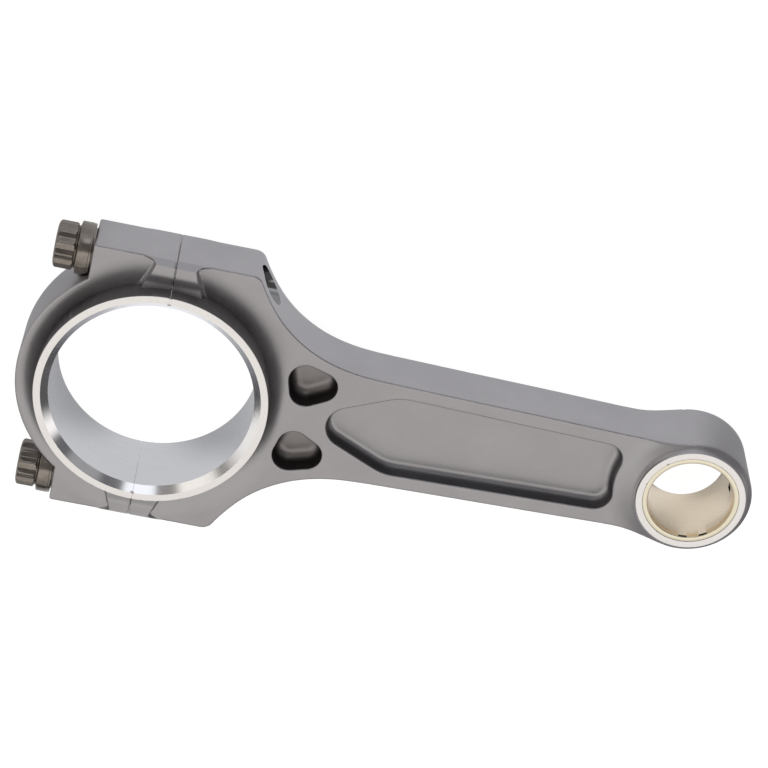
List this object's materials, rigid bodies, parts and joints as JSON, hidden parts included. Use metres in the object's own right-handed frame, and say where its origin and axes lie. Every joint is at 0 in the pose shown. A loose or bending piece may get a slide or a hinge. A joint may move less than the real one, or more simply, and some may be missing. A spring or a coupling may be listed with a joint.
{
  "type": "connecting rod",
  "caption": "Steel connecting rod: two-piece bolted crank end, pocketed I-section beam and bushed wrist-pin eye.",
  "frame": {"origin": "middle of the outline, on the plane of the lower crank-end thrust face that the part lies on", "axes": "+X from the crank end to the wrist-pin end, +Z along both bores towards the side with the bearing tang notches, +Y completes the right-handed frame"},
  "size_m": [0.2074, 0.0848, 0.0272],
  "materials": {
    "rod_steel": "satin, shot-peened and tumbled, with ground and honed running faces",
    "cap_steel": "satin, shot-peened and tumbled, with ground and honed running faces",
    "bolt_steel": "dark oiled alloy steel, smooth",
    "dowel_steel": "ground",
    "bush_bronze": "pale silicon bronze, honed bore"
  },
  "bodies": {
    "rod": {"rod_body": "rod_steel", "wrist_pin_bush": "bush_bronze", "dowel_pin_left": "dowel_steel", "dowel_pin_right": "dowel_steel"},
    "cap": {"big_end_cap": "cap_steel"},
    "bolt_left": {"cap_bolt_left": "bolt_steel"},
    "bolt_right": {"cap_bolt_right": "bolt_steel"}
  },
  "joints": [
    {"name": "cap_draw", "type": "slide", "parent": "rod", "child": "cap", "axis": [-1, 0, 0], "range_m": [0, 0.045]},
    {"name": "bolt_left_draw", "type": "slide", "parent": "cap", "child": "bolt_left", "axis": [-1, 0, 0], "range_m": [0, 0.048]},
    {"name": "bolt_right_draw", "type": "slide", "parent": "cap", "child": "bolt_right", "axis": [-1, 0, 0], "range_m": [0, 0.048]}
  ]
}
